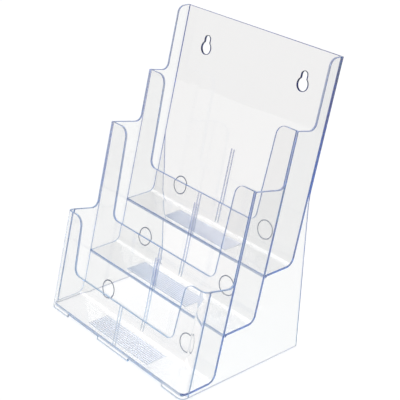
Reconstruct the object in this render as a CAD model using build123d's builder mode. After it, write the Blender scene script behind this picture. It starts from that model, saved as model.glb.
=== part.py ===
"""Three-tier countertop magazine rack in clear plastic sheet.

Each pocket is one bent sheet: a floor with an upstand that leans back. The upstand of one
pocket is also the front panel of the pocket behind it. A wrapped front panel closes the
lowest pocket, and two side walls, grooved for the sheet ends, hold everything together.

Frame: +X right, +Y back, +Z up. Origin: bottom centre of the whole rack. Millimetres.
"""

from build123d import *
import os
from math import acos, cos, degrees, radians, sin, tan

os.makedirs("parts", exist_ok=True)

# ---- Driving dimensions ----------------------------------------------------------------
width = 240.0  # over the outside of both side walls
lean = 12.25  # degrees that every panel leans back
sheet = 2.8  # thickness of the bent sheets and the front panel
wall = 2.8  # thickness of the side walls
groove_depth = 0.8  # how far the sheet ends sit in the side walls

tier_run = 54.0  # from one front panel to the next, level
tier_rise = 52.3  # from one floor to the next
foot_height = 3.3  # table to the underside of the lowest floor
bend_radius = 10.0  # sheet bend between floor and upstand, at mid thickness
top_depth = 41.0  # level depth of the top pocket, at mid thickness
toe_drop = 1.9  # thickened front end of each floor, below its underside
toe_length = 3.0  # how far back the thickening runs

back_height = 229.5  # top of the back panel above the top floor, along the lean
ear_height = 159.8  # top of the upper two front panels above their floors
front_ear_height = 117.2  # the same for the lowest front panel
lip_height = 52.0  # low middle of the upper two front panels
front_lip_height = 50.0  # the same for the lowest front panel
ear_width = 29.0  # ear at its top, from the rack's side
ear_taper = 3.5  # how much wider the ear is at the lip
ear_radius = 12.0  # round top corner of an ear
lip_radius = 9.0  # round corner where an ear meets the lip

corner_radius = 7.0  # round vertical corners of the lowest front panel
return_flat = 2.0  # straight part of the front panel's side returns
foot_width = 56.0  # middle foot under the front panel
foot_relief = 58.0  # gap between the middle foot and each corner foot

flange_depth = 16.8  # side wall beside the back panel, from its rear face
flange_radius = 9.0  # round top corner of that flange
step_radius = 8.0  # hollow corner at each step of the side wall
nose_radius = 1.5  # front top corner of each step
skirt_height = 185.0  # where the upright rear edge meets the leaning back
skirt_blend = 80.0  # radius of that meeting

keyhole_spacing = 153.0  # between the two wall-hanging keyholes
keyhole_height = 188.2  # centre of the round entry above the top floor
keyhole_entry_radius = 7.0
keyhole_slot_width = 7.5
keyhole_slot_rise = 10.3  # from the entry's centre to the slot's end centre

guide_gap = 3.0  # slot between the two ribs of a divider guide
rib_width = 1.0
rib_depth = 1.5
back_guide_height = 92.0  # top of the ribs on an upstand, above its floor
guide_lip_gap = 2.0  # ribs on a front panel stop this far below the lip

ring_spacing = 143.0  # between the two raised rings of a pocket
ring_centre = 23.4  # ring centre above the floor, along the lean
ring_radius = 11.2  # outside of the ring
ring_width = 1.4
ring_height = 0.5

grip_width = 106.0  # ridged grip plate on each floor
grip_front_gap = 4.5  # bare floor in front of the plate
grip_rear_gap = 2.0  # bare floor between the plate and the bend
grip_plate = 0.3
ridge_pitch = 2.7
ridge_width = 1.3
ridge_height = 0.5

# ---- Worked-out geometry, in the side plane: y from the front line, z up ------------------
slope = radians(lean)
bend_turn = radians(90 - lean)
bend_tangent = bend_radius * tan(bend_turn / 2)
sheet_width = width - 2 * (wall - groove_depth)
pocket_pitch = tier_run * cos(slope) - tier_rise * sin(slope)  # panel to panel, square
panel_drop = tier_rise / cos(slope)  # from one floor down to the next, along the lean
trim = 5.0  # spare length that the notch cut takes off

tiers = ("lower", "middle", "top")
floor_mid = [foot_height + sheet / 2 + tier_rise * i for i in range(3)]
front_foot = [(tier_run * i, floor_mid[i]) for i in range(3)]
back_foot = [
    (tier_run - tier_rise * tan(slope), floor_mid[0]),
    (2 * tier_run - tier_rise * tan(slope), floor_mid[1]),
    (2 * tier_run + top_depth, floor_mid[2]),
]
lips = (front_lip_height, lip_height, lip_height)


def on_panel(foot, height, depth=0.0):
    """Side-plane point that is height up a panel from its foot and depth behind its middle."""
    y = foot[0] + height * sin(slope) + depth * cos(slope)
    z = foot[1] + height * cos(slope) - depth * sin(slope)
    return (y, z)


def on_panel_at(foot, z, depth=0.0):
    """Side-plane point on the line that is depth behind a panel's middle, at height z."""
    return on_panel(foot, (z - foot[1] + depth * sin(slope)) / cos(slope), depth)


front_edge = on_panel_at(front_foot[0], 0, -sheet / 2)[0]
rear_edge = on_panel(back_foot[2], back_height, sheet / 2)[0]
middle_y = (front_edge + rear_edge) / 2


def side_plane(x=0.0):
    """Plane for side-plane points, facing +X."""
    return Plane(origin=(x, -middle_y, 0), x_dir=(0, 1, 0), z_dir=(1, 0, 0))


def panel_plane(foot, height=0.0, depth=0.0):
    """Plane on a panel, x across the rack, y up the lean, facing the front."""
    y, z = on_panel(foot, height, depth)
    return Plane(origin=(0, y - middle_y, z), x_dir=(1, 0, 0), z_dir=(0, -cos(slope), sin(slope)))


def finish(builder, name):
    """Labels a finished piece and writes its file."""
    builder.part.label = name
    export_step(builder.part, f"parts/{name}.step")


def notch(foot, lip, ear_top):
    """Outline of the wide notch between a front panel's ears, and of the trim above them."""
    outside = width / 2 + trim
    top_half = width / 2 - ear_width
    lip_half = top_half - ear_taper
    sky = ear_top + 2 * trim
    with BuildSketch(panel_plane(foot)) as outline:
        with BuildLine():
            FilletPolyline(
                (-outside, sky),
                (-outside, ear_top),
                (-top_half, ear_top),
                (-lip_half, lip),
                (lip_half, lip),
                (top_half, ear_top),
                (outside, ear_top),
                (outside, sky),
                radius=[0, 0, ear_radius, lip_radius, lip_radius, ear_radius, 0, 0],
                close=True,
            )
        make_face()
    return outline.sketch


def bent_profile(pocket, length):
    """Section of a pocket's floor and upstand, butted against the panel in front."""
    front, back = front_foot[pocket], back_foot[pocket]
    level = floor_mid[pocket]
    corner_half = sheet / 2 * (1 - sin(slope)) / cos(slope)
    underside = level - sheet / 2
    toe = on_panel_at(front, underside - toe_drop, sheet / 2)
    with BuildSketch(side_plane()) as section:
        with BuildLine():
            FilletPolyline(
                on_panel_at(front, level + sheet / 2, sheet / 2),
                toe,
                (toe[0] + toe_length, underside),
                (back[0] + corner_half, underside),
                on_panel(back, length, sheet / 2),
                on_panel(back, length, -sheet / 2),
                (back[0] - corner_half, level + sheet / 2),
                radius=[0, 0, 0, bend_radius + sheet / 2, 0, 0, bend_radius - sheet / 2],
                close=True,
            )
        make_face()
    return section.sketch


# ---- Front panel of the lowest pocket, wrapped round both front corners --------------------
return_depth = corner_radius + return_flat  # from the front face to the side wall's edge
inner_half = width / 2 - wall
ground_cut = 40.0  # taller than anything of the panel below the table line
plan_plane = Plane(
    origin=(0, front_foot[0][0] - middle_y, front_foot[0][1]),
    x_dir=(1, 0, 0),
    z_dir=(0, sin(slope), cos(slope)),
)

with BuildPart() as front_panel:
    with BuildSketch(plan_plane.offset(-floor_mid[0] / cos(slope) - trim)):
        with BuildLine():
            FilletPolyline(
                (-width / 2, return_depth - sheet / 2),
                (-width / 2, -sheet / 2),
                (width / 2, -sheet / 2),
                (width / 2, return_depth - sheet / 2),
                (inner_half, return_depth - sheet / 2),
                (inner_half, sheet / 2),
                (-inner_half, sheet / 2),
                (-inner_half, return_depth - sheet / 2),
                radius=[0, corner_radius, corner_radius, 0, 0]
                + [corner_radius - sheet, corner_radius - sheet, 0],
                close=True,
            )
        make_face()
    extrude(amount=front_ear_height + floor_mid[0] / cos(slope) + 2 * trim)
    front_notch = notch(front_foot[0], front_lip_height, front_ear_height)
    extrude(front_notch, amount=return_depth, both=True, mode=Mode.SUBTRACT)
    with Locations((0, front_edge - middle_y, 0)):
        Box(
            2 * width,
            ground_cut,
            ground_cut,
            align=(Align.CENTER, Align.CENTER, Align.MAX),
            mode=Mode.SUBTRACT,
        )
    relief_x = (foot_width + foot_relief) / 2
    with Locations((-relief_x, front_edge - middle_y, 0), (relief_x, front_edge - middle_y, 0)):
        Box(
            foot_relief,
            ground_cut,
            foot_height,
            align=(Align.CENTER, Align.CENTER, Align.MIN),
            mode=Mode.SUBTRACT,
        )
finish(front_panel, "front_panel")

# ---- The three bent sheets -------------------------------------------------------------
with BuildPart() as lower_sheet:
    extrude(bent_profile(0, panel_drop + ear_height + trim), amount=sheet_width / 2, both=True)
    extrude(notch(front_foot[1], lip_height, ear_height), amount=sheet, both=True, mode=Mode.SUBTRACT)
    add(front_panel.part, mode=Mode.SUBTRACT)
finish(lower_sheet, "lower_sheet")

with BuildPart() as middle_sheet:
    extrude(bent_profile(1, panel_drop + ear_height + trim), amount=sheet_width / 2, both=True)
    extrude(notch(front_foot[2], lip_height, ear_height), amount=sheet, both=True, mode=Mode.SUBTRACT)
finish(middle_sheet, "middle_sheet")

with BuildPart() as top_sheet:
    extrude(bent_profile(2, back_height), amount=sheet_width / 2, both=True)
    with BuildSketch(panel_plane(back_foot[2], keyhole_height)):
        with GridLocations(keyhole_spacing, 1, 2, 1):
            Circle(keyhole_entry_radius)
        with Locations((0, keyhole_slot_rise / 2)):
            with GridLocations(keyhole_spacing, 1, 2, 1):
                SlotCenterToCenter(keyhole_slot_rise, keyhole_slot_width, rotation=90)
    extrude(amount=sheet, both=True, mode=Mode.SUBTRACT)
finish(top_sheet, "top_sheet")

# ---- Side walls ------------------------------------------------------------------------
top_pocket_depth = top_depth * cos(slope)  # panel to panel, square
flange_front = sheet / 2 - flange_depth
back_top = on_panel(back_foot[2], back_height, -sheet / 2)
wall_outline = [
    (on_panel_at(front_foot[0], 0, return_depth - sheet / 2), 0),
    (on_panel(front_foot[0], front_ear_height, return_depth - sheet / 2), 0),
    (on_panel(front_foot[0], front_ear_height, pocket_pitch - sheet / 2), step_radius),
    (on_panel(front_foot[1], ear_height, -sheet / 2), nose_radius),
    (on_panel(front_foot[1], ear_height, pocket_pitch - sheet / 2), step_radius),
    (on_panel(front_foot[2], ear_height, -sheet / 2), nose_radius),
    (on_panel(front_foot[2], ear_height, top_pocket_depth + flange_front), step_radius),
    (on_panel_at(back_foot[2], back_top[1], flange_front), flange_radius),
    (back_top, 0),
    (on_panel(back_foot[2], back_height, sheet / 2), 0),
    (on_panel_at(back_foot[2], skirt_height, sheet / 2), skirt_blend),
    ((on_panel_at(back_foot[2], skirt_height, sheet / 2)[0], 0), 0),
]


for side, hand in ((-1, "left"), (1, "right")):
    with BuildPart() as side_wall:
        with BuildSketch(side_plane(side * (width / 2 - wall))):
            with BuildLine():
                FilletPolyline(
                    [point for point, _ in wall_outline],
                    radius=[radius for _, radius in wall_outline],
                    close=True,
                )
            make_face()
        extrude(amount=side * wall)
        for piece in (lower_sheet, middle_sheet, top_sheet):
            add(piece.part, mode=Mode.SUBTRACT)
    finish(side_wall, f"side_wall_{hand}")


# ---- Divider guides: pairs of fine ribs in the middle of each pocket -----------------------
def back_rib(pocket, x):
    """Side of a rib on an upstand: its foot follows the inside of the bend."""
    foot = back_foot[pocket]
    face = -sheet / 2
    inner_radius = bend_radius - sheet / 2
    foot_turn = acos(1 - rib_depth / inner_radius)
    tangent = on_panel(foot, bend_tangent, face)
    foot_end = on_panel(foot, bend_tangent - inner_radius * sin(foot_turn), face - rib_depth)
    foot_middle = on_panel(
        foot,
        bend_tangent - inner_radius * sin(foot_turn / 2),
        face - inner_radius * (1 - cos(foot_turn / 2)),
    )
    with BuildSketch(side_plane(x)) as side_view:
        with BuildLine():
            Polyline(
                tangent,
                on_panel(foot, back_guide_height, face),
                on_panel(foot, back_guide_height, face - rib_depth),
                foot_end,
            )
            ThreePointArc(foot_end, foot_middle, tangent)
        make_face()
    return side_view.sketch


def front_rib(pocket, x):
    """Side of a rib on the inside of a front panel, from the floor to just below the lip."""
    foot = front_foot[pocket]
    floor_top = floor_mid[pocket] + sheet / 2
    rib_top = lips[pocket] - guide_lip_gap
    with BuildSketch(side_plane(x)) as side_view:
        with BuildLine():
            Polyline(
                on_panel_at(foot, floor_top, sheet / 2),
                on_panel(foot, rib_top, sheet / 2),
                on_panel(foot, rib_top, sheet / 2 + rib_depth),
                on_panel_at(foot, floor_top, sheet / 2 + rib_depth),
                close=True,
            )
        make_face()
    return side_view.sketch


rib_starts = (-guide_gap / 2 - rib_width, guide_gap / 2)
for pocket, tier in enumerate(tiers):
    with BuildPart() as back_guide:
        for rib_x in rib_starts:
            extrude(back_rib(pocket, rib_x), amount=rib_width)
    finish(back_guide, f"back_guide_{tier}")
    with BuildPart() as front_guide:
        for rib_x in rib_starts:
            extrude(front_rib(pocket, rib_x), amount=rib_width)
    finish(front_guide, f"front_guide_{tier}")

# ---- Raised rings on the upstands ----------------------------------------------------------
for pocket, tier in enumerate(tiers):
    for side, hand in ((-1, "left"), (1, "right")):
        with BuildPart() as ring:
            with BuildSketch(panel_plane(back_foot[pocket], ring_centre, -sheet / 2)):
                with Locations((side * ring_spacing / 2, 0)):
                    Circle(ring_radius)
                    Circle(ring_radius - ring_width, mode=Mode.SUBTRACT)
            extrude(amount=ring_height)
        finish(ring, f"ring_{tier}_{hand}")

# ---- Ridged grip plates on the floors ------------------------------------------------------
for pocket, tier in enumerate(tiers):
    floor_top = floor_mid[pocket] + sheet / 2
    plate_front = on_panel_at(front_foot[pocket], floor_top, sheet / 2)[0] + grip_front_gap
    plate_rear = back_foot[pocket][0] - bend_tangent - grip_rear_gap
    plate_length = plate_rear - plate_front
    plate_y = (plate_front + plate_rear) / 2 - middle_y
    ridges = int((plate_length - ridge_width) / ridge_pitch) + 1
    with BuildPart() as grip:
        with BuildSketch(Plane.XY.offset(floor_top)):
            with Locations((0, plate_y)):
                Rectangle(grip_width, plate_length)
        extrude(amount=grip_plate)
        with BuildSketch(Plane.XY.offset(floor_top + grip_plate)):
            with Locations((0, plate_y)):
                with GridLocations(1, ridge_pitch, 1, ridges):
                    Rectangle(grip_width, ridge_width)
        extrude(amount=ridge_height)
    finish(grip, f"grip_{tier}")

print("bend turn", round(degrees(bend_turn), 2), "overall depth", round(rear_edge - front_edge, 2))
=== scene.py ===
"""Looks of the clear plastic magazine rack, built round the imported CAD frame.

Every sheet is cut as a flat pattern with rounded rims and then bent or wrapped by formula.
Sizes below are the part's own, in millimetres; finished meshes are in metres.
"""

from math import acos, atan2, ceil, cos, pi, radians, sin, sqrt, tan

import bmesh
import bpy
import numpy as np
from mathutils import Matrix, Vector
from mathutils.geometry import tessellate_polygon


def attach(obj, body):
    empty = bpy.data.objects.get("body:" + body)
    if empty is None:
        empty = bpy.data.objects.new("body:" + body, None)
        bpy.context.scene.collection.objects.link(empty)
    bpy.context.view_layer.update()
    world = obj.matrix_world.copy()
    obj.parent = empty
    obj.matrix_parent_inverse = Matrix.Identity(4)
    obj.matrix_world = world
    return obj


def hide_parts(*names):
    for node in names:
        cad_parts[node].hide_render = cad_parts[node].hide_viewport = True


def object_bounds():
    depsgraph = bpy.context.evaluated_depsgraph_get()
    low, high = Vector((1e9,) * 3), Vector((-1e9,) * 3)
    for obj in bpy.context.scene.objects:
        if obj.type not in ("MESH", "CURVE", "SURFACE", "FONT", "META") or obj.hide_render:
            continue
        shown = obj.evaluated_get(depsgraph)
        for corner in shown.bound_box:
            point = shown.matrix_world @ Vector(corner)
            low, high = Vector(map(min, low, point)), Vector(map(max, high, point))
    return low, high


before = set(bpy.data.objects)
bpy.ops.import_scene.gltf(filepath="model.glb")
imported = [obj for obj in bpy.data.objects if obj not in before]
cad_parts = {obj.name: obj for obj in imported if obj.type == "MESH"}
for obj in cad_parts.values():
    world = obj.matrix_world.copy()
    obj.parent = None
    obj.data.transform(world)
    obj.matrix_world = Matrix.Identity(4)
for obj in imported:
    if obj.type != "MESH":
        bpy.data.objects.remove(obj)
cad_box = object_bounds()
scene = bpy.context.scene
MM = 0.001

# ---- The part's sizes, in millimetres ----------------------------------------------------
LEAN = radians(12.25)
SHEET = 2.8
TIER_RUN = 54.0
TIER_RISE = 52.3
FOOT = 3.3
BEND = 10.0
TOP_DEPTH = 41.0
TOE_DROP = 1.9
TOE_LENGTH = 3.0
BACK_HEIGHT = 229.5
EAR_HEIGHT = (117.2, 159.8, 159.8)
LIP_HEIGHT = (50.0, 52.0, 52.0)
EAR_WIDTH = 29.0
EAR_TAPER = 3.5
EAR_RADIUS = 12.0
LIP_RADIUS = 9.0
CORNER = 7.0
RETURN_FLAT = 2.0
FOOT_WIDTH = 56.0
FOOT_RELIEF = 58.0
FLANGE = 16.8
FLANGE_RADIUS = 9.0
STEP_RADIUS = 8.0
NOSE_RADIUS = 1.5
SKIRT_HEIGHT = 185.0
SKIRT_BLEND = 80.0
KEY_SPACING = 153.0
KEY_HEIGHT = 188.2
KEY_RADIUS = 7.0
KEY_SLOT = 7.5
KEY_RISE = 10.3
RIB_GAP = 3.0
RIB_WIDTH = 1.0
RIB_DEPTH = 1.5
RIB_TOP = 92.0
RIB_LIP_GAP = 2.0
RING_SPACING = 143.0
RING_CENTRE = 23.4
RING_RADIUS = 11.2
RING_WIDTH = 1.4
RING_HEIGHT = 0.5
GRIP_WIDTH = 106.0
GRIP_FRONT = 4.5
GRIP_REAR = 2.0
GRIP_PLATE = 0.3
RIDGE_PITCH = 2.7
RIDGE_WIDTH = 1.3
RIDGE_HEIGHT = 0.5

# ---- How the visual pieces are made --------------------------------------------------------
SEAM = 0.04  # air left at bonded faces, except at the floors' front ends: see bent_sheet
RIM = 0.45  # rounding of the sheets' polished rims
HOLE_RIM = 0.8  # the same round the keyholes
RIB_RIM = 0.25
GRIP_RIM = 0.05
RIM_STEPS = 3  # rings of faces in each rounding
ARC_STEP = radians(5)  # longest turn of one edge along an outline's arc
FLOOR_CORNER = 5.0  # rounds the lowest floor's front corners, clear of the wrapped panel
BEND_STEPS = 30  # facets of a sheet's bend
WRAP_STEPS = 24  # facets of the front panel's wrap round a corner
ENTRY_STEPS = 60  # facets of a keyhole's round entry
SLOT_STEPS = 24  # facets of the round top of its slot
RIB_STEPS = 6  # facets of a rib's curved foot
RING_STEPS = 96  # facets round a ring
RING_SECTION_STEPS = 8  # facets across a ring
RIDGE_STEPS = 6  # facets across a ridge
END_FACING = 0.3  # least sideways share of the normal of a sheet's end face
REAR_FACING = 0.5  # least rearward share of the normal of a side wall's rear edge
FACE_SLOT, RIM_SLOT, HOLE_SLOT, END_SLOT, BEVEL_SLOT = range(5)

low, high = (v / MM for v in cad_box)
WIDTH = high.x - low.x
HALF = WIDTH / 2
INNER = HALF - SHEET
LEAN_SIN, LEAN_COS, LEAN_TAN = sin(LEAN), cos(LEAN), tan(LEAN)
TURN = pi / 2 - LEAN
TANGENT = BEND * tan(TURN / 2)
TIERS = ("lower", "middle", "top")
SIDES = ((-1, "left"), (1, "right"))

FLOOR = [FOOT + SHEET / 2 + TIER_RISE * i for i in range(3)]
FRONT_FOOT = [(TIER_RUN * i, FLOOR[i]) for i in range(3)]
BACK_FOOT = [
    (TIER_RUN - TIER_RISE * LEAN_TAN, FLOOR[0]),
    (2 * TIER_RUN - TIER_RISE * LEAN_TAN, FLOOR[1]),
    (2 * TIER_RUN + TOP_DEPTH, FLOOR[2]),
]


def on_panel(foot, height, depth=0.0):
    """Side-plane point height up a panel from its foot and depth behind its middle."""
    return (
        foot[0] + height * LEAN_SIN + depth * LEAN_COS,
        foot[1] + height * LEAN_COS - depth * LEAN_SIN,
    )


def on_panel_at(foot, z, depth=0.0):
    """Side-plane point at height z on the line that is depth behind a panel's middle."""
    return on_panel(foot, (z - foot[1] + depth * LEAN_SIN) / LEAN_COS, depth)


MIDDLE_Y = on_panel_at(FRONT_FOOT[0], 0, -SHEET / 2)[0] - low.y


# ---- Outlines ------------------------------------------------------------------------------
def rounded(corners):
    """Closed outline through corners of (x, y, radius), each turned into an arc."""
    points = []
    n = len(corners)
    for i in range(n):
        x, y, radius = corners[i]
        if radius <= 0:
            points.append((x, y))
            continue
        p = np.array((x, y))
        a = np.array(corners[i - 1][:2]) - p
        b = np.array(corners[(i + 1) % n][:2]) - p
        a /= np.linalg.norm(a)
        b /= np.linalg.norm(b)
        half = acos(max(-1, min(1, a @ b))) / 2
        centre = p + (a + b) / np.linalg.norm(a + b) * radius / sin(half)
        start = p + a * radius / tan(half) - centre
        end = p + b * radius / tan(half) - centre
        first = atan2(start[1], start[0])
        sweep = (atan2(end[1], end[0]) - first + pi) % (2 * pi) - pi
        steps = max(2, ceil(abs(sweep) / ARC_STEP))
        for k in range(steps + 1):
            turn = first + sweep * k / steps
            points.append((centre[0] + radius * cos(turn), centre[1] + radius * sin(turn)))
    return points


def area(points):
    """Signed area: positive when the outline runs anticlockwise."""
    return sum(
        points[i - 1][0] * points[i][1] - points[i][0] * points[i - 1][1]
        for i in range(len(points))
    ) / 2


def inset(points, amount, solid_left=True):
    """The outline moved into the solid, which is on its left or on its right."""
    n = len(points)
    hand = 1 if solid_left else -1
    moved = []
    for i in range(n):
        before = np.subtract(points[i], points[i - 1])
        after = np.subtract(points[(i + 1) % n], points[i])
        before = before / np.linalg.norm(before)
        after = after / np.linalg.norm(after)
        mitre = np.array((-before[1] - after[1], before[0] + after[0]))
        mitre /= max(1e-9, 1 + before @ after)
        x, y = points[i] + hand * amount * mitre
        moved.append((x, y))
    return moved


# ---- Slabs ---------------------------------------------------------------------------------
def slab(outline, holes=(), thickness=SHEET, rim=RIM, slots=(RIM_SLOT, BEVEL_SLOT)):
    """A flat plate with rounded rims round its outline and its holes, w from -t/2 to t/2.

    slots are the material slots of the outer rim's flat middle and of its roundings.
    """
    outline = outline if area(outline) > 0 else outline[::-1]
    holes = [h if area(h) > 0 else h[::-1] for h in holes]
    bm = bmesh.new()
    half = thickness / 2 - SEAM
    loops = []
    for ring, is_outer in [(outline, True)] + [(h, False) for h in holes]:
        radius = min(rim if is_outer else HOLE_RIM, half)
        section = []
        for k in range(RIM_STEPS + 1):
            turn = pi / 2 * k / RIM_STEPS
            section.append((SEAM + radius * (1 - sin(turn)), half - radius * (1 - cos(turn))))
        section += [(o, -w) for o, w in reversed(section)]
        rows = []
        for offset, w in section:
            flat = inset(ring, offset, is_outer)
            rows.append([bm.verts.new((x, y, w)) for x, y in flat])
        for band, (upper, lower) in enumerate(zip(rows, rows[1:])):
            n = len(upper)
            slot = slots[0] if band == RIM_STEPS else slots[1]
            # Hole walls take the near-black keyhole material: painted shade.
            if not is_outer:
                slot = HOLE_SLOT
            for i in range(n):
                j = (i + 1) % n
                quad = (upper[i], lower[i], lower[j], upper[j])
                bm.faces.new(quad if is_outer else quad[::-1]).material_index = slot
        loops.append(rows)
    for row, up in ((0, True), (-1, False)):
        verts = [v for rows in loops for v in rows[row]]
        polygon = [[v.co.copy() for v in rows[row]] for rows in loops]
        for triangle in tessellate_polygon(polygon):
            corner = [verts[i] for i in triangle]
            normal = (corner[1].co - corner[0].co).cross(corner[2].co - corner[0].co)
            if normal.length < 1e-12:
                continue
            if (normal.z > 0) != up:
                corner.reverse()
            bm.faces.new(corner)
    return bm


def cut_across(bm, places, axis=1):
    """Adds edges across a flat mesh at these places, where it will bend."""
    normal = [0, 0, 0]
    normal[axis] = 1
    for place in places:
        point = [0, 0, 0]
        point[axis] = place
        bmesh.ops.bisect_plane(
            bm,
            geom=bm.verts[:] + bm.edges[:] + bm.faces[:],
            plane_co=point,
            plane_no=normal,
            dist=1e-5,
        )


def mark_ends(bm, chosen):
    """Gives the ends' material slot to the outer rim faces that chosen(face) picks."""
    bmesh.ops.recalc_face_normals(bm, faces=bm.faces[:])
    for f in bm.faces:
        if f.material_index in (RIM_SLOT, BEVEL_SLOT) and chosen(f):
            f.material_index = END_SLOT


def is_end(face, limit):
    """Whether a rim face looks outwards from the left or right end of a plate, up to a limit."""
    place = face.calc_center_median()
    return face.normal.x * place.x > 0 and abs(face.normal.x) > END_FACING and place.y < limit


def finish_mesh(bm, name, slot, look=None):
    """Moves a mesh from side-plane millimetres to the frame, as the piece that stands for a node."""
    bmesh.ops.recalc_face_normals(bm, faces=bm.faces[:])
    for v in bm.verts:
        v.co = Vector((v.co.x, v.co.y - MIDDLE_Y, v.co.z)) * MM
    for f in bm.faces:
        f.smooth = True
    mesh = bpy.data.meshes.new(name)
    bm.to_mesh(mesh)
    bm.free()
    if sum_volume(mesh) < 0:
        mesh.flip_normals()
    weigh_normals(mesh)
    obj = bpy.data.objects.new(name, mesh)
    scene.collection.objects.link(obj)
    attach(obj, "root")
    for material in materials[look or slot]:
        obj.data.materials.append(material)
    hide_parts(name)


def mesh_arrays(mesh):
    """Vertex places of a mesh, and the vertex numbers of its triangles."""
    mesh.calc_loop_triangles()
    co = np.array([v.co for v in mesh.vertices])
    tri = np.array([t.vertices for t in mesh.loop_triangles])
    return co, tri


def sum_volume(mesh):
    """Signed volume of a closed mesh."""
    co, tri = mesh_arrays(mesh)
    a, b, c = co[tri[:, 0]], co[tri[:, 1]], co[tri[:, 2]]
    return float((a * np.cross(b, c)).sum() / 6)


def weigh_normals(mesh):
    """Vertex normals weighed by face area, so that flats stay flat up to their rims."""
    co, tri = mesh_arrays(mesh)
    a, b, c = co[tri[:, 0]], co[tri[:, 1]], co[tri[:, 2]]
    cross = np.cross(b - a, c - a)
    normals = np.zeros_like(co)
    for k in range(3):
        np.add.at(normals, tri[:, k], cross)
    normals /= np.maximum(np.linalg.norm(normals, axis=1), 1e-20)[:, None]
    mesh.normals_split_custom_set_from_vertices(normals.tolist())


# ---- Materials -----------------------------------------------------------------------------
BLUE = (0.08, 0.63, 0.93)  # tint of the plastic's depth
BLUE_DENSITY = 16.0
IOR = 1.57
SMOOTH, WORN = 0.0, 0.03  # roughness of a clean spot and of a handled one
SMUDGE_SCALE = 22  # noise cells to the metre, for the handled spots
SMUDGE_DETAIL = 3
SMUDGE_RANGE = (0.5, 0.75)  # noise values over which a spot goes from smooth to worn
FLOW_SCALE = 14  # noise cells to the metre, for the faint unevenness
FLOW_STRENGTH, FLOW_HEIGHT = 0.15, 0.0004  # of its bump, the height in metres
WHITE_FROST = (0.93, 0.93, 0.94)


def clear(name, tint, gloss=0.5, frost=0.0, frost_tint=WHITE_FROST):
    """Clear plastic: blue through its depth, faintly uneven and handled on its surface.

    frost is the share of the surface that scatters light, as ground plastic does.
    """
    material = bpy.data.materials.new(name)
    material.use_nodes = True
    tree = material.node_tree
    tree.nodes.clear()
    new, link = tree.nodes.new, tree.links.new
    out = new("ShaderNodeOutputMaterial")
    shader = new("ShaderNodeBsdfPrincipled")
    shader.inputs["Base Color"].default_value = (*tint, 1)
    shader.inputs["IOR"].default_value = IOR
    shader.inputs["Transmission Weight"].default_value = 1
    shader.inputs["Specular IOR Level"].default_value = gloss
    place = new("ShaderNodeTexCoord").outputs["Object"]
    smudges = new("ShaderNodeTexNoise")
    smudges.inputs["Scale"].default_value = SMUDGE_SCALE
    smudges.inputs["Detail"].default_value = SMUDGE_DETAIL
    link(place, smudges.inputs["Vector"])
    wear = new("ShaderNodeMapRange")
    wear.inputs["From Min"].default_value = SMUDGE_RANGE[0]
    wear.inputs["From Max"].default_value = SMUDGE_RANGE[1]
    wear.inputs["To Min"].default_value = SMOOTH
    wear.inputs["To Max"].default_value = WORN
    link(smudges.outputs[0], wear.inputs["Value"])
    link(wear.outputs[0], shader.inputs["Roughness"])
    flow = new("ShaderNodeTexNoise")
    flow.inputs["Scale"].default_value = FLOW_SCALE
    flow.inputs["Detail"].default_value = 0
    link(place, flow.inputs["Vector"])
    bump = new("ShaderNodeBump")
    bump.inputs["Strength"].default_value = FLOW_STRENGTH
    bump.inputs["Distance"].default_value = FLOW_HEIGHT
    link(flow.outputs[0], bump.inputs["Height"])
    link(bump.outputs[0], shader.inputs["Normal"])
    matt, lit = new("ShaderNodeBsdfDiffuse"), new("ShaderNodeBsdfTranslucent")
    for node in (matt, lit):
        node.inputs["Color"].default_value = (*frost_tint, 1)
    scatter, surface = new("ShaderNodeMixShader"), new("ShaderNodeMixShader")
    link(matt.outputs[0], scatter.inputs[1])
    link(lit.outputs[0], scatter.inputs[2])
    surface.inputs[0].default_value = frost
    link(shader.outputs[0], surface.inputs[1])
    link(scatter.outputs[0], surface.inputs[2])
    through = new("ShaderNodeBsdfTransparent")
    path = new("ShaderNodeLightPath")
    mix = new("ShaderNodeMixShader")
    link(path.outputs["Is Shadow Ray"], mix.inputs[0])
    link(surface.outputs[0], mix.inputs[1])
    link(through.outputs[0], mix.inputs[2])
    link(mix.outputs[0], out.inputs["Surface"])
    depth = new("ShaderNodeVolumeAbsorption")
    depth.inputs["Color"].default_value = (*BLUE, 1)
    depth.inputs["Density"].default_value = BLUE_DENSITY
    link(depth.outputs[0], out.inputs["Volume"])
    return material


# Tints of the surfaces. Faces, rims and bevels are warm, because the depth adds its own blue. The
# back, wall, hole, ring and ridge tints are also darkened as painted shade.
FACE_TINT = (0.985, 0.955, 0.94)
# The tall top sheet and the side walls are greyer copies of the same clear plastic: painted shade,
# on top of the warm balance.
BACK_SHADE_TINT = (0.935, 0.905, 0.89)
WALL_SHADE_TINT = (0.955, 0.935, 0.92)
RIM_TINT = (0.97, 0.90, 0.82)
END_TINT = (0.40, 0.78, 0.86)
BEVEL_TINT = (0.92, 0.84, 0.76)
# Keyhole walls are near black: painted shade round the keyholes.
HOLE_SHADE_TINT = (0.08, 0.09, 0.11)
FINE_TINT = (0.90, 0.91, 0.94)
# Rings are dark in both their clear and matte shares: painted shade that draws the clear rings as
# dark lines.
RING_SHADE_TINT = (0.22, 0.25, 0.33)
GRIP_TINT = (0.93, 0.93, 0.96)
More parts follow.
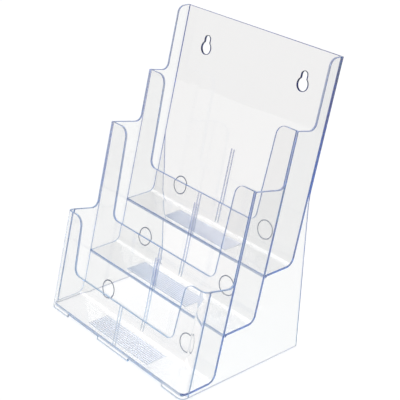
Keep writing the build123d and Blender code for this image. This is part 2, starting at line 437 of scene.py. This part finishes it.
# Steep ridge flanks are darker than the grip plate: painted shade that draws the ridges as lines.
RIDGE_SHADE_TINT = (0.64, 0.64, 0.71)
RIM_FROST = (0.97, 0.97, 0.975)
BEVEL_FROST = (0.70, 0.72, 0.80)
rims = (
    clear("clear_rim", RIM_TINT, frost=0.85, frost_tint=RIM_FROST),
    clear("clear_hole_painted_shade", HOLE_SHADE_TINT),
    clear("clear_end", END_TINT),
    clear("clear_bevel", BEVEL_TINT, frost=0.5, frost_tint=BEVEL_FROST),
)
materials = {
    "clear_sheet": (clear("clear_sheet", FACE_TINT), *rims),
    "clear_back_painted_shade": (clear("clear_back_painted_shade", BACK_SHADE_TINT), *rims),
    "clear_wall": (clear("clear_wall", WALL_SHADE_TINT), *rims),
    "clear_rib": (clear("clear_rib", FINE_TINT), clear("clear_rib_rim", FINE_TINT)),
    "clear_ring": (clear("clear_ring", RING_SHADE_TINT, frost=0.5, frost_tint=RING_SHADE_TINT),),
    "clear_grip": (
        clear("clear_grip", GRIP_TINT, gloss=0.25),
        clear("clear_ridge_painted_shade", RIDGE_SHADE_TINT, gloss=0.25),
    ),
}


# ---- Bent sheets -----------------------------------------------------------------------------
def upright_end(bend_start, height):
    """Flat-pattern place of a height up a sheet's upstand."""
    return bend_start + BEND * TURN + height - TANGENT


def bent_sheet(pocket, name):
    """Floor and upstand of a pocket, cut flat and bent."""
    front = on_panel_at(FRONT_FOOT[pocket], FLOOR[pocket], SHEET / 2)[0]
    bend_start = BACK_FOOT[pocket][0] - TANGENT - front
    half = INNER
    drop = TIER_RISE / LEAN_COS
    front_corner = FLOOR_CORNER if pocket == 0 else 0
    holes = []
    if pocket < 2:
        ear = upright_end(bend_start, drop + EAR_HEIGHT[pocket + 1])
        lip = upright_end(bend_start, drop + LIP_HEIGHT[pocket + 1])
        top_half = HALF - EAR_WIDTH
        lip_half = top_half - EAR_TAPER
        corners = [
            (-half, 0, front_corner),
            (half, 0, front_corner),
            (half, ear, 0),
            (top_half, ear, EAR_RADIUS),
            (lip_half, lip, LIP_RADIUS),
            (-lip_half, lip, LIP_RADIUS),
            (-top_half, ear, EAR_RADIUS),
            (-half, ear, 0),
        ]
    else:
        lip = top = upright_end(bend_start, BACK_HEIGHT)
        corners = [(-half, 0, 0), (half, 0, 0), (half, top, 0), (-half, top, 0)]
        centre = upright_end(bend_start, KEY_HEIGHT)
        for side in (-1, 1):
            holes.append(keyhole(side * KEY_SPACING / 2, centre))
    bm = slab(rounded(corners), holes)
    mark_ends(bm, lambda face: is_end(face, lip))
    cuts = [bend_start + BEND * TURN * k / BEND_STEPS for k in range(BEND_STEPS + 1)]
    cut_across(bm, [TOE_LENGTH] + cuts)
    for v in bm.verts:
        x, s, w = v.co
        if w < 0:
            w -= TOE_DROP * max(0, 1 - s / TOE_LENGTH)
        if s <= bend_start:
            # Known flaw: the front end leans the wrong way, 0.4 mm into the panel at its top.
            shear = w * LEAN_TAN if s < 2 * RIM else 0
            v.co = (x, front + s - shear, FLOOR[pocket] + w)
            continue
        turn = min(TURN, (s - bend_start) / BEND)
        beyond = max(0, s - bend_start - BEND * TURN)
        y = front + bend_start + (BEND - w) * sin(turn) + beyond * LEAN_SIN
        z = FLOOR[pocket] + BEND - (BEND - w) * cos(turn) + beyond * LEAN_COS
        v.co = (x, y, z)
    # The tall top sheet takes the greyer back material, which is painted shade.
    finish_mesh(bm, name, "clear_sheet", look="clear_back_painted_shade" if pocket == 2 else None)


def keyhole(x, y):
    """Outline of a keyhole: a round entry with a narrower slot above it."""
    join = sqrt(KEY_RADIUS**2 - (KEY_SLOT / 2) ** 2)
    first = atan2(join, KEY_SLOT / 2)
    sweep = -(2 * pi - (pi - 2 * first))
    points = []
    for k in range(ENTRY_STEPS + 1):
        turn = first + sweep * k / ENTRY_STEPS
        points.append((x + KEY_RADIUS * cos(turn), y + KEY_RADIUS * sin(turn)))
    for k in range(SLOT_STEPS + 1):
        turn = pi - pi * k / SLOT_STEPS
        points.append((x + KEY_SLOT / 2 * cos(turn), y + KEY_RISE + KEY_SLOT / 2 * sin(turn)))
    return points


bent_sheet(0, "lower_sheet")
bent_sheet(1, "middle_sheet")
bent_sheet(2, "top_sheet")


# ---- Side walls --------------------------------------------------------------------------------
def side_wall(side, hand):
    """A stepped side wall."""
    pitch = TIER_RUN * LEAN_COS - TIER_RISE * LEAN_SIN
    return_edge = CORNER + RETURN_FLAT - SHEET / 2
    flange = SHEET / 2 - FLANGE
    back_top = on_panel(BACK_FOOT[2], BACK_HEIGHT, -SHEET / 2)
    top_depth = TOP_DEPTH * LEAN_COS
    skirt = on_panel_at(BACK_FOOT[2], SKIRT_HEIGHT, SHEET / 2)
    corners = [
        (*on_panel_at(FRONT_FOOT[0], 0, return_edge), 0),
        (*on_panel(FRONT_FOOT[0], EAR_HEIGHT[0], return_edge), 0),
        (*on_panel(FRONT_FOOT[0], EAR_HEIGHT[0], pitch - SHEET / 2), STEP_RADIUS),
        (*on_panel(FRONT_FOOT[1], EAR_HEIGHT[1], -SHEET / 2), NOSE_RADIUS),
        (*on_panel(FRONT_FOOT[1], EAR_HEIGHT[1], pitch - SHEET / 2), STEP_RADIUS),
        (*on_panel(FRONT_FOOT[2], EAR_HEIGHT[2], -SHEET / 2), NOSE_RADIUS),
        (*on_panel(FRONT_FOOT[2], EAR_HEIGHT[2], top_depth + flange), STEP_RADIUS),
        (*on_panel_at(BACK_FOOT[2], back_top[1], flange), FLANGE_RADIUS),
        (*back_top, 0),
        (*on_panel(BACK_FOOT[2], BACK_HEIGHT, SHEET / 2), 0),
        (*skirt, SKIRT_BLEND),
        (skirt[0], 0, 0),
    ]
    bm = slab(rounded(corners))
    mark_ends(bm, lambda face: face.normal.x > REAR_FACING)
    for v in bm.verts:
        y, z, w = v.co
        v.co = (side * (HALF - SHEET / 2) + w, y, z)
    # The walls take the greyer wall material, which is painted shade.
    finish_mesh(bm, f"side_wall_{hand}", "clear_wall")


for side, hand in SIDES:
    side_wall(side, hand)


# ---- Wrapped front panel ---------------------------------------------------------------------
def front_panel():
    """The lowest front panel, cut flat and wrapped round both front corners."""
    bend = CORNER - SHEET / 2
    flat_half = HALF - CORNER
    arc = bend * pi / 2
    ear, lip = EAR_HEIGHT[0], LIP_HEIGHT[0]
    edge = flat_half + arc + RETURN_FLAT
    top_half = HALF - EAR_WIDTH
    lip_half = top_half - EAR_TAPER
    foot_in = FOOT_WIDTH / 2
    foot_out = foot_in + FOOT_RELIEF
    base = -FLOOR[0] / LEAN_COS
    raised = base + FOOT / LEAN_COS
    corners = [
        (edge, ear, 0),
        (top_half, ear, EAR_RADIUS),
        (lip_half, lip, LIP_RADIUS),
        (-lip_half, lip, LIP_RADIUS),
        (-top_half, ear, EAR_RADIUS),
        (-edge, ear, 0),
        (-edge, base, 0),
        (-foot_out, base, 0),
        (-foot_out, raised, 0),
        (-foot_in, raised, 0),
        (-foot_in, base, 0),
        (foot_in, base, 0),
        (foot_in, raised, 0),
        (foot_out, raised, 0),
        (foot_out, base, 0),
        (edge, base, 0),
    ]
    bm = slab(rounded(corners))
    mark_ends(bm, lambda face: is_end(face, lip))
    cuts = [flat_half + arc * k / WRAP_STEPS for k in range(WRAP_STEPS + 1)]
    cut_across(bm, cuts + [-c for c in cuts], axis=0)
    for v in bm.verts:
        u, h, w = v.co
        side = 1 if u > 0 else -1
        turn = max(0.0, min(pi / 2, (abs(u) - flat_half) / bend))
        beyond = max(0.0, abs(u) - flat_half - arc)
        depth = bend - (bend + w) * cos(turn) + beyond
        x = side * (min(abs(u), flat_half) + (bend + w) * sin(turn))
        if h < raised + 2 * RIM:
            h += depth * LEAN_TAN
        y, z = on_panel(FRONT_FOOT[0], h, depth)
        v.co = (x, y, z)
    finish_mesh(bm, "front_panel", "clear_sheet")


front_panel()


# ---- Divider ribs, rings and grips -----------------------------------------------------------
def ribs(outline, name):
    """A pair of fine upright ribs of one side-plane outline."""
    bm = bmesh.new()
    for x in (-RIB_GAP / 2 - RIB_WIDTH / 2, RIB_GAP / 2 + RIB_WIDTH / 2):
        one = slab(outline, thickness=RIB_WIDTH, rim=RIB_RIM, slots=(RIM_SLOT, RIM_SLOT))
        for v in one.verts:
            y, z, w = v.co
            v.co = (x + w, y, z)
        part = bpy.data.meshes.new("rib")
        one.to_mesh(part)
        one.free()
        bm.from_mesh(part)
        bpy.data.meshes.remove(part)
    finish_mesh(bm, name, "clear_rib")


def back_rib_outline(pocket):
    """A rib on an upstand, its foot curving with the bend."""
    foot = BACK_FOOT[pocket]
    inner = BEND - SHEET / 2
    full = acos(1 - RIB_DEPTH / inner)
    face = -SHEET / 2
    points = [
        on_panel(foot, RIB_TOP, face),
        on_panel(foot, RIB_TOP, face - RIB_DEPTH),
    ]
    for k in range(RIB_STEPS + 1):
        turn = full * (1 - k / RIB_STEPS)
        points.append(on_panel(foot, TANGENT - inner * sin(turn), face - inner * (1 - cos(turn))))
    return points


def front_rib_outline(pocket):
    """A rib inside a front panel, from the floor to just below the lip."""
    foot = FRONT_FOOT[pocket]
    floor = FLOOR[pocket] + SHEET / 2
    top = LIP_HEIGHT[pocket] - RIB_LIP_GAP
    back = SHEET / 2 + RIB_DEPTH
    return [
        on_panel_at(foot, floor, SHEET / 2),
        on_panel_at(foot, floor, back),
        on_panel(foot, top, back),
        on_panel(foot, top, SHEET / 2),
    ]


def raised_ring(pocket, side, name):
    """A low raised ring on an upstand."""
    cx = side * RING_SPACING / 2
    middle = RING_RADIUS - RING_WIDTH / 2
    bm = bmesh.new()
    rows = []
    profile = []
    for k in range(RING_SECTION_STEPS + 1):
        turn = pi * k / RING_SECTION_STEPS
        profile.append(
            (-cos(turn) * (RING_WIDTH / 2 - SEAM), SEAM + sin(turn) * (RING_HEIGHT - 2 * SEAM))
        )
    for k in range(RING_STEPS):
        angle = 2 * pi * k / RING_STEPS
        row = []
        for out, rise in profile:
            x = cx + (middle + out) * cos(angle)
            y, z = on_panel(
                BACK_FOOT[pocket], RING_CENTRE + (middle + out) * sin(angle), -SHEET / 2 - rise
            )
            row.append(bm.verts.new((x, y, z)))
        rows.append(row)
    for k in range(RING_STEPS):
        a, b = rows[k], rows[(k + 1) % RING_STEPS]
        for j in range(len(a)):
            i = (j + 1) % len(a)
            bm.faces.new((a[j], b[j], b[i], a[i]))
    # The rings take the dark ring material: painted shade.
    finish_mesh(bm, name, "clear_ring")


def grip(pocket, name):
    """A thin plate with fine ridges across the floor."""
    top = FLOOR[pocket] + SHEET / 2
    front = on_panel_at(FRONT_FOOT[pocket], top, SHEET / 2)[0] + GRIP_FRONT
    rear = BACK_FOOT[pocket][0] - TANGENT - GRIP_REAR
    length = rear - front
    ridges = int((length - RIDGE_WIDTH) / RIDGE_PITCH) + 1
    first = (front + rear) / 2 - (ridges - 1) / 2 * RIDGE_PITCH
    profile = [(front + SEAM, top + SEAM), (front + SEAM, top + GRIP_PLATE)]
    for k in range(ridges):
        middle = first + k * RIDGE_PITCH
        for j in range(RIDGE_STEPS + 1):
            turn = pi * j / RIDGE_STEPS
            y = middle - cos(turn) * (RIDGE_WIDTH / 2)
            z = top + GRIP_PLATE + sin(turn) * (RIDGE_HEIGHT - SEAM)
            if not (k == 0 and j == 0 and y < front + 2 * SEAM):
                profile.append((y, z))
    profile += [(rear - SEAM, top + GRIP_PLATE), (rear - SEAM, top + SEAM)]
    bm = slab(profile, thickness=GRIP_WIDTH, rim=GRIP_RIM, slots=(FACE_SLOT, FACE_SLOT))
    bm.normal_update()
    for f in bm.faces:
        # The ridges' steep flanks take the grip's darker second material: painted shade.
        if f.calc_center_median().y > top + GRIP_PLATE + 0.02 and abs(f.normal.z) < 0.9:
            f.material_index = RIM_SLOT
    for v in bm.verts:
        y, z, w = v.co
        v.co = (w, y, z)
    finish_mesh(bm, name, "clear_grip")


for pocket, tier in enumerate(TIERS):
    ribs(back_rib_outline(pocket), f"back_guide_{tier}")
    ribs(front_rib_outline(pocket), f"front_guide_{tier}")
    grip(pocket, f"grip_{tier}")
    for side, hand in SIDES:
        raised_ring(pocket, side, f"ring_{tier}_{hand}")

# ---- Floor, light and camera -------------------------------------------------------------------
FLOOR_RADIUS = 6.0
FLOOR_DROP = 0.0006  # the floor lies just below the feet, so that no faces coincide
FLOOR_BRIGHT, FLOOR_DIM = 0.79, 0.55  # the floor's own light round the rack and in front of it
FRONT_WAY = (-0.35, -0.94, 0.0)  # forwards and a little to the left
FLOOR_FADE = (0.56, 1.2)  # metres that way from the rack's middle over which the floor dims
FLOOR_GREY = 0.3
WORLD_DIM, WORLD_BRIGHT = 0.40, 1.0
BRIGHT_WAY = (-0.35, 0.55, 0.55)  # upwards, back and to the left
WORLD_FADE = (-0.45, 0.25)  # places along BRIGHT_WAY between which the studio brightens
BOX = 3.0  # strength of the soft light, which diffuse surfaces don't see
BOX_WAY = (-0.674, -0.1, 0.732)  # up on the left
BOX_EDGE = (0.95, 0.975)  # cosines of the angles from BOX_WAY between which it fades in
BOUNCES = 128  # light runs far along inside the sheets before it comes out at an edge
CLEAR_BOUNCES = 64
CAMERA_ANGLES = (48.07, 25.45, 2.34)  # azimuth, elevation and roll in degrees
CAMERA_PLACE = (0.7863, -0.6848, 0.6525)
LENS = 94.56

floor_mesh = bpy.data.meshes.new("floor")
bm = bmesh.new()
bmesh.ops.create_circle(bm, cap_ends=True, radius=FLOOR_RADIUS, segments=96)
for v in bm.verts:
    v.co.z = -FLOOR_DROP
bm.to_mesh(floor_mesh)
bm.free()
floor = bpy.data.objects.new("floor", floor_mesh)
scene.collection.objects.link(floor)
floor_material = bpy.data.materials.new("floor")
floor_material.use_nodes = True
tree = floor_material.node_tree
tree.nodes.clear()
new, link = tree.nodes.new, tree.links.new


def math_node(operation, *values):
    """A math node in the current tree, its inputs numbers or sockets."""
    node = new("ShaderNodeMath")
    node.operation = operation
    for socket, value in zip(node.inputs, values):
        if isinstance(value, (int, float)):
            socket.default_value = value
        else:
            link(value, socket)
    return node.outputs[0]


def along(vector, way):
    """Dot product of a vector socket with a fixed direction."""
    node = new("ShaderNodeVectorMath")
    node.operation = "DOT_PRODUCT"
    link(vector, node.inputs[0])
    node.inputs[1].default_value = way
    return node.outputs["Value"]


def fade(value, start, end, low_value, high_value):
    """Smooth change from low_value to high_value as value goes from start to end."""
    node = new("ShaderNodeMapRange")
    node.interpolation_type = "SMOOTHSTEP"
    link(value, node.inputs["Value"])
    node.inputs["From Min"].default_value = start
    node.inputs["From Max"].default_value = end
    node.inputs["To Min"].default_value = low_value
    node.inputs["To Max"].default_value = high_value
    return node.outputs[0]


place = new("ShaderNodeNewGeometry").outputs["Position"]
towards_front = along(place, FRONT_WAY)
glow = new("ShaderNodeEmission")
link(fade(towards_front, *FLOOR_FADE, FLOOR_BRIGHT, FLOOR_DIM), glow.inputs["Strength"])
matt = new("ShaderNodeBsdfDiffuse")
matt.inputs["Color"].default_value = (FLOOR_GREY, FLOOR_GREY, FLOOR_GREY, 1)
both = new("ShaderNodeAddShader")
link(glow.outputs[0], both.inputs[0])
link(matt.outputs[0], both.inputs[1])
link(both.outputs[0], new("ShaderNodeOutputMaterial").inputs["Surface"])
floor_mesh.materials.append(floor_material)

world = bpy.data.worlds.new("studio")
scene.world = world
world.use_nodes = True
tree = world.node_tree
tree.nodes.clear()
new, link = tree.nodes.new, tree.links.new
direction = new("ShaderNodeTexCoord").outputs["Generated"]
light = fade(along(direction, BRIGHT_WAY), *WORLD_FADE, WORLD_DIM, WORLD_BRIGHT)
box = fade(along(direction, BOX_WAY), *BOX_EDGE, 0.0, BOX)
seen = math_node("SUBTRACT", 1.0, new("ShaderNodeLightPath").outputs["Is Diffuse Ray"])
background = new("ShaderNodeBackground")
link(math_node("MULTIPLY_ADD", box, seen, light), background.inputs["Strength"])
link(background.outputs[0], new("ShaderNodeOutputWorld").inputs["Surface"])

camera_data = bpy.data.cameras.new("camera")
camera = bpy.data.objects.new("camera", camera_data)
scene.collection.objects.link(camera)
azimuth, elevation, roll = (radians(angle) for angle in CAMERA_ANGLES)
back = Vector((sin(azimuth) * cos(elevation), -cos(azimuth) * cos(elevation), sin(elevation)))
right = Vector((cos(azimuth), sin(azimuth), 0))
up = back.cross(right)
tilted_right = cos(roll) * right + sin(roll) * up
tilted_up = cos(roll) * up - sin(roll) * right
pose = Matrix((tilted_right, tilted_up, back)).transposed().to_4x4()
pose.translation = CAMERA_PLACE
camera.matrix_world = pose
camera_data.sensor_width = 36
camera_data.lens = LENS
camera_data.clip_start = 0.01
scene.camera = camera

scene.view_settings.view_transform = "Standard"
scene.cycles.max_bounces = BOUNCES
scene.cycles.transmission_bounces = BOUNCES
scene.cycles.glossy_bounces = BOUNCES
scene.cycles.transparent_max_bounces = CLEAR_BOUNCES
scene.cycles.blur_glossy = 0
